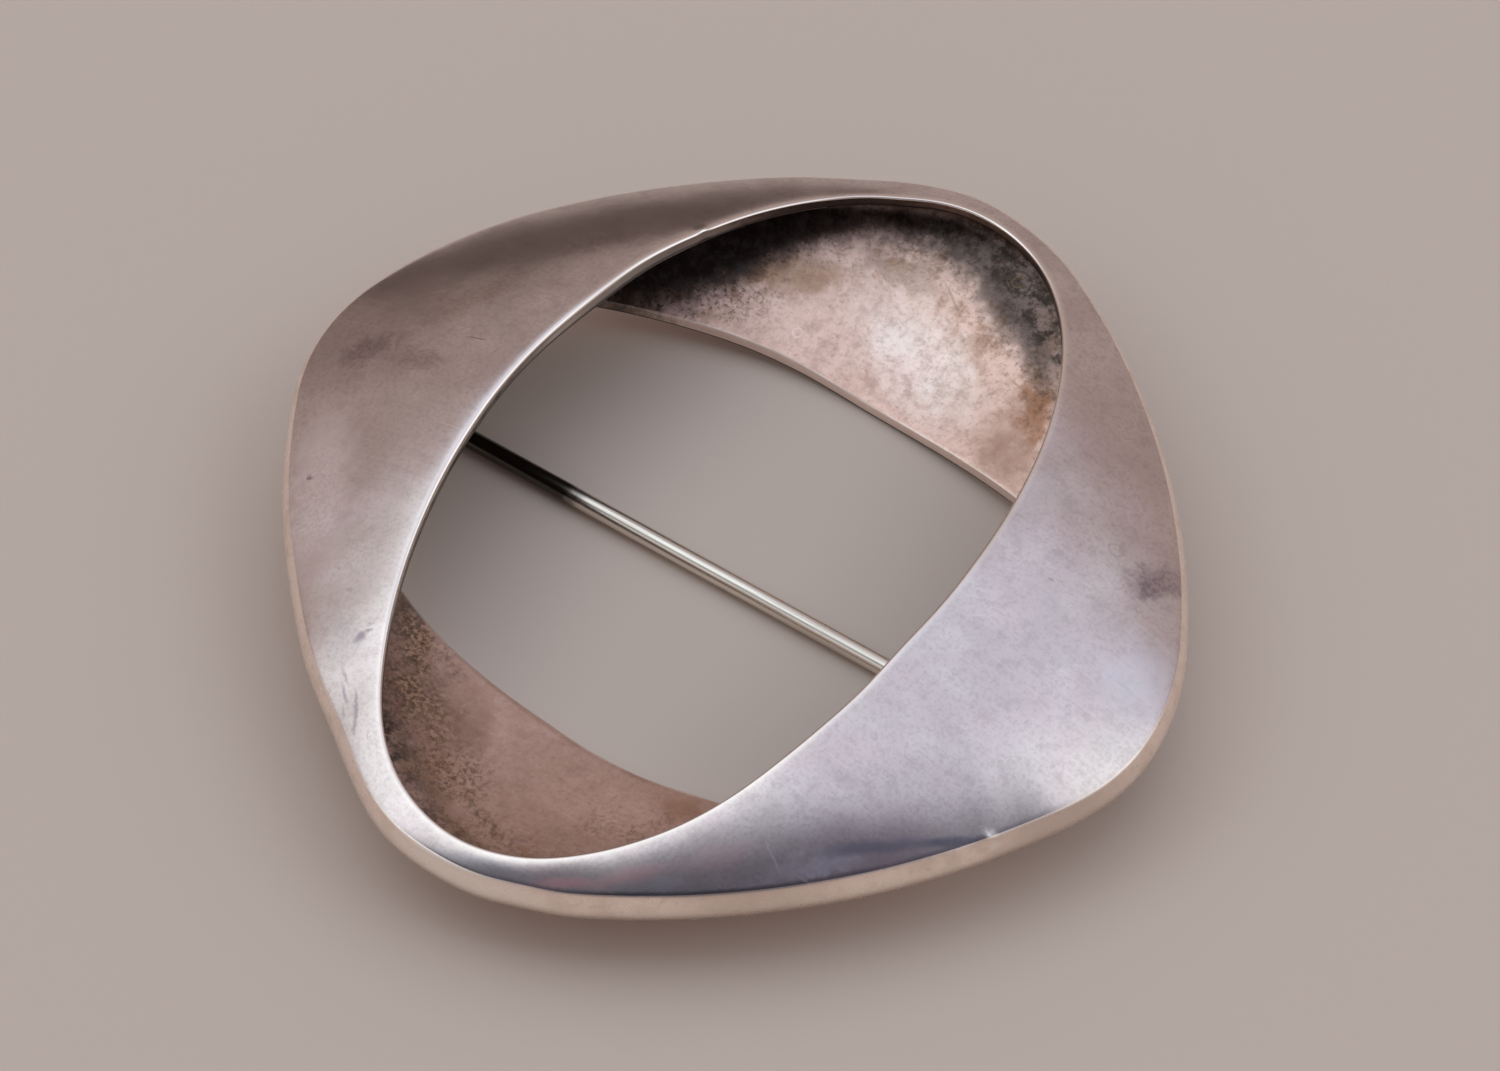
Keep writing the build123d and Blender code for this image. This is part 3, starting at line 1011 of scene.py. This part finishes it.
# Hammer waves lie on the outer faces of both sheets, burrs and polishing only on the front's
def makeBody():
    angle, distance, height, names, attributes = bodyGrid()
    x, y = distance * np.cos(angle), distance * np.sin(angle)
    outside = np.array([name.startswith(("front", "back")) and "Inside" not in name for name in names])
    onFront = np.array([name.startswith("front") and "Inside" not in name for name in names])
    polished = polishedDrop(angle, attributes["frontGap"])
    height = height + handWork(x, y) * outside + (burrRise(x, y) - polished) * onFront
    materials = {
        "front": frontSilver("front silver", frontFinish),
        "band": bandSilver("band silver", bandFinish),
        "back": frontSilver("back silver", plainBack),
        "wall": plainSilver("opening wall", wallFinish),
        "inside": insideSilver("inside tarnish with painted shade and reflection", insideFinish),
        "under": insideSilver("under patina and painted shade", underFinish),
    }
    shell = {"grid": np.stack([x, y, height], axis=-1), "ring": True}
    body = makePiece("brooch_body_silver", [shell], materials.values(), "brooch_body", "frame")
    numbers = {run: list(materials).index(row["material"]) for row in runFinishes for run in row["runs"]}
    columns = np.array([numbers[name] for name in names])
    body.data.polygons.foreach_set("material_index", np.tile(columns, len(x)).astype(np.int32))
    for label, values in attributes.items():
        layer = body.data.attributes.new(label, "FLOAT", "POINT")
        layer.data.foreach_set("value", values.astype(np.float32).ravel())
    body.data.update()


makeBody()


# An outline of straight edges. Each corner has a place (u, v) and is cut by a quadratic curve that
# starts its rounding before the corner, so a row is (u, v, rounding). The points run counterclockwise.
def roundedOutline(steps, *corners):
    places = np.array([corner[:2] for corner in corners], float)
    rounding = np.array([corner[2] for corner in corners])[:, None]
    towardsLast = np.roll(places, 1, 0) - places
    towardsNext = np.roll(places, -1, 0) - places
    start = places + towardsLast / np.linalg.norm(towardsLast, axis=1, keepdims=True) * rounding
    end = places + towardsNext / np.linalg.norm(towardsNext, axis=1, keepdims=True) * rounding
    turn = np.linspace(0, 1, steps)[None, :, None]
    points = start[:, None] * (1 - turn) ** 2 + end[:, None] * turn ** 2
    points = (points + 2 * places[:, None] * turn * (1 - turn)).reshape(-1, 2)
    after = np.roll(points, -1, 0)
    area = np.sum(points[:, 0] * after[:, 1] - points[:, 1] * after[:, 0])
    return points if area > 0 else points[::-1]


# Outward direction at each point of an outline, long enough that moving by it moves both edges by one
def outlineOutwards(points):
    edge = np.roll(points, -1, 0) - points
    normal = np.stack([edge[:, 1], -edge[:, 0]], axis=1) / np.linalg.norm(edge, axis=1, keepdims=True)
    before = np.roll(normal, 1, 0)
    return (normal + before) / (1 + np.sum(normal * before, axis=1, keepdims=True))


# A bar: an outline carried from start to end along w, drawn in by a quarter circle at both ends.
# The order says which of u, v and w runs along X, Y and Z.
def barGrid(outline, start, end, bevel, order):
    turn = np.linspace(0, math.pi / 2, fittingSizes["bevelSteps"])
    inwards = np.concatenate([1 - np.sin(turn), 1 - np.sin(turn[::-1])]) * bevel
    along = np.concatenate([start + bevel * (1 - np.cos(turn)), end - bevel * (1 - np.cos(turn[::-1]))])
    flat = outline[None] - outlineOutwards(outline)[None] * inwards[:, None, None]
    w = np.broadcast_to(along[:, None, None], flat.shape[:2] + (1,))
    uvw = dict(zip("uvw", np.moveaxis(np.concatenate([flat, w], axis=2), 2, 0)))
    return {"grid": np.stack([uvw[name] for name in order], axis=-1), "ring": False}


# Hinge ears and catch, soldered inside the rim
fittingSizes = {
    "fromRim": 4.2,
    "stemAside": -0.4,
    "earThickness": 0.8,
    "earsApart": 2.2,
    "earWidth": 3.1,
    "catchLength": 2.0,
    "catchWidth": 2.94,
    "slotWidth": 1.34,
    "slotTop": 1.32,
    "armHeight": 2.0,
    "armToOutside": 0.2,
    "footRounding": 0.25,
    "shoulderRounding": 0.8,
    "hiddenRounding": 0.12,
    "bevel": 0.13,
    "slotShare": 0.98,
    "armWider": 0.02,
    "cornerSteps": 7,
    "bevelSteps": 4,
}
hingeX = -(halfCorner - fittingSizes["fromRim"])
catchX = halfCorner - fittingSizes["fromRim"]
armEnd = halfCorner - fittingSizes["armToOutside"]
armBottom = middleZ - fittingSizes["armHeight"] / 2
armTop = middleZ + fittingSizes["armHeight"] / 2

fittingFinish = {
    **plainFinish,
    "bright": (0.74, 0.67, 0.62),
    "dull": (0.42, 0.34, 0.30),
    "roughness": 0.34,
}
fittingSilver = plainSilver("fitting silver", fittingFinish)


# An ear is a leg on its foot with an arm that runs out to the rim
def makeEars():
    sizes = fittingSizes
    inner, outer = hingeX + sizes["earWidth"] / 2, hingeX - sizes["earWidth"] / 2
    foot, hidden = sizes["footRounding"], sizes["hiddenRounding"]
    outline = roundedOutline(
        sizes["cornerSteps"],
        (inner, 0.0, foot),
        (outer, 0.0, foot),
        (outer, armBottom, foot),
        (-armEnd, armBottom, hidden),
        (-armEnd, armTop, hidden),
        (inner, armTop, sizes["shoulderRounding"]),
    )
    for name, side in (("hinge_ear_left", -1), ("hinge_ear_right", 1)):
        middle = sizes["stemAside"] + side * sizes["earsApart"] / 2
        half = sizes["earThickness"] / 2
        shell = barGrid(outline, middle - half, middle + half, sizes["bevel"], "uwv")
        makePiece(name, [shell], [fittingSilver], "brooch_body", "frame")


# The catch's leg has a slot over the stem, open towards the back; its arm is a bar of its own
def makeCatch():
    sizes = fittingSizes
    aside, half, slot = sizes["stemAside"], sizes["catchWidth"] / 2, sizes["slotWidth"] / 2
    inner, outer = catchX - sizes["catchLength"] / 2, catchX + sizes["catchLength"] / 2
    steps, wider = sizes["cornerSteps"], sizes["armWider"]
    foot, hidden = sizes["footRounding"], sizes["hiddenRounding"]
    leg = roundedOutline(
        steps,
        (aside - half, 0.0, foot),
        (aside - slot, 0.0, foot),
        (aside - slot, sizes["slotTop"], slot * sizes["slotShare"]),
        (aside + slot, sizes["slotTop"], slot * sizes["slotShare"]),
        (aside + slot, 0.0, foot),
        (aside + half, 0.0, foot),
        (aside + half, middleZ, hidden),
        (aside - half, middleZ, hidden),
    )
    arm = roundedOutline(
        steps,
        (inner - wider, armBottom, hidden),
        (armEnd, armBottom, hidden),
        (armEnd, armTop, hidden),
        (inner - wider, armTop, sizes["shoulderRounding"]),
    )
    shells = [barGrid(leg, inner, outer, sizes["bevel"], "wuv"),
              barGrid(arm, aside - half - wider, aside + half + wider, sizes["bevel"], "uwv")]
    makePiece("catch_silver", shells, [fittingSilver], "brooch_body", "frame")


makeEars()
makeCatch()


# Pin stem: drawn wire that is forged into a flat eye at the hinge and filed to a point
stemSizes = {
    "radius": 0.55,
    "floorGap": 0.1,
    "eyeRadius": 1.35,
    "eyeWidth": 1.2,
    "holeRadius": 0.45,
    "eyeRounding": 0.13,
    "shoulderStarts": 0.75,
    "shoulderEnds": 3.6,
    "pastCatch": 1.5,
    "shoulderRise": 0.5,
    "shoulderHigher": 0.27,
    "shoulderNarrower": 0.02,
    "pointLength": 4.0,
    "pointShare": 0.86,
    "pointPower": 1.5,
    "bluntFrom": 0.97,
    "bluntLength": 0.0301,
    "stepsAround": 40,
    "stepsAlong": 260,
    "eyeStepsAround": 64,
    "eyeCornerSteps": 5,
}


# From 0 at the start to 1 at the end, level at both: 3 s^2 - 2 s^3
def easeShare(value, start, end):
    share = np.clip((value - start) / (end - start), 0, 1)
    return share * share * (3 - 2 * share)


# The wire's section is an oval. From its round form it grows upwards into the eye over the shoulder.
# Towards the tip its radius falls with the share of the point's length to a power, and the last bit of
# that length ends it in a quarter circle.
def stemGrid():
    sizes = stemSizes
    tipX = catchX + fittingSizes["catchLength"] / 2 + sizes["pastCatch"]
    x = np.linspace(hingeX + sizes["shoulderStarts"], tipX, sizes["stepsAlong"])[:, None]
    shoulder = 1 - easeShare(x, hingeX + sizes["shoulderStarts"], hingeX + sizes["shoulderEnds"])
    pointed = np.clip((x - tipX) / sizes["pointLength"] + 1, 0, 1)
    blunt = np.sqrt(1 - np.clip((pointed - sizes["bluntFrom"]) / sizes["bluntLength"], 0, 1) ** 2)
    slim = (1 - sizes["pointShare"] * pointed ** sizes["pointPower"]) * blunt
    middle = sizes["floorGap"] + sizes["radius"] + sizes["shoulderRise"] * shoulder
    high = (sizes["radius"] + sizes["shoulderHigher"] * shoulder) * slim
    wide = (sizes["radius"] - sizes["shoulderNarrower"] * shoulder) * slim
    turn = np.linspace(0, 2 * math.pi, sizes["stepsAround"], endpoint=False)[None, :]
    y = fittingSizes["stemAside"] + wide * np.cos(turn)
    z = middle + high * np.sin(turn)
    return {"grid": np.stack([x + 0 * turn, y, z], axis=-1), "ring": False}


# The eye is a ring whose section is a rectangle with rounded corners, turned about the rivet
def eyeGrid():
    sizes = stemSizes
    half, rounding = sizes["eyeWidth"] / 2, sizes["eyeRounding"]
    section = roundedOutline(
        sizes["eyeCornerSteps"],
        (sizes["holeRadius"], -half, rounding),
        (sizes["eyeRadius"], -half, rounding),
        (sizes["eyeRadius"], half, rounding),
        (sizes["holeRadius"], half, rounding),
    )
    turn = np.linspace(0, 2 * math.pi, sizes["eyeStepsAround"], endpoint=False)[:, None]
    x = hingeX + section[None, :, 0] * np.cos(turn)
    z = sizes["floorGap"] + sizes["eyeRadius"] + section[None, :, 0] * np.sin(turn)
    y = fittingSizes["stemAside"] + section[None, :, 1] + 0 * turn
    return {"grid": np.stack([x, y, z], axis=-1), "ring": True}


pinFinish = {
    "bright": (0.85, 0.79, 0.71),
    "dull": (0.62, 0.55, 0.47),
    "dark": (0.055, 0.047, 0.038),
    "darkUpTo": -10.2,
    "darkEndsAt": -8.6,
    "darkDepth": 0.96,
    "darkWaver": 2.0,
    "metallic": 1.0,
    "roughness": 0.25,
    "waver": 0.14,
    "reliefStrength": 0.1,
    "relief": 0.01,
    "noises": noiseTable(
        ("lines", 5200, 3.0, 0.6, 0.0, (0.02, 1.0, 1.0), 0),
        ("mottle", 1300, 4.0, 0.65, 0.0, None, 0),
    ),
    "layers": layerTable(
        ("lines", 0.4, 0.7, 1.0, "dull"),
        ("mottle", 0.55, 0.75, 0.25, "dull"),
    ),
}


# Drawn lines run along the wire, and tarnish with painted shade and dark reflection under the front sheet
# darkens it from the hinge up to a place along X
def pinSilver(name, finish):
    material, shader, write, where, noise = startMaterial(name, finish)
    along = write.add("ShaderNodeSeparateXYZ", {"Vector": where}).outputs["X"]
    along = write.sum("MULTIPLY_ADD", noise["mottle"], finish["darkWaver"] * mm, along)
    starts, ends = finish["darkUpTo"] * mm, finish["darkEndsAt"] * mm
    colour = layNoises(write, noise, finish["bright"], finish)
    # painted shade and dark reflection under the front sheet, with tarnish
    colour = write.mix(write.fade(along, starts, ends, finish["darkDepth"], 0.0), colour, finish["dark"])
    endMaterial(write, shader, finish, colour, noise["mottle"], noise["lines"])
    return material


pinWire = pinSilver("pin silver", pinFinish)
makePiece("pin_stem_silver", [stemGrid(), eyeGrid()], [pinWire], "pin_stem", "pin")

# The rivet keeps the frame's shape and gets the fittings' silver
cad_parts["hinge_rivet"].material_slots[0].material = fittingSilver
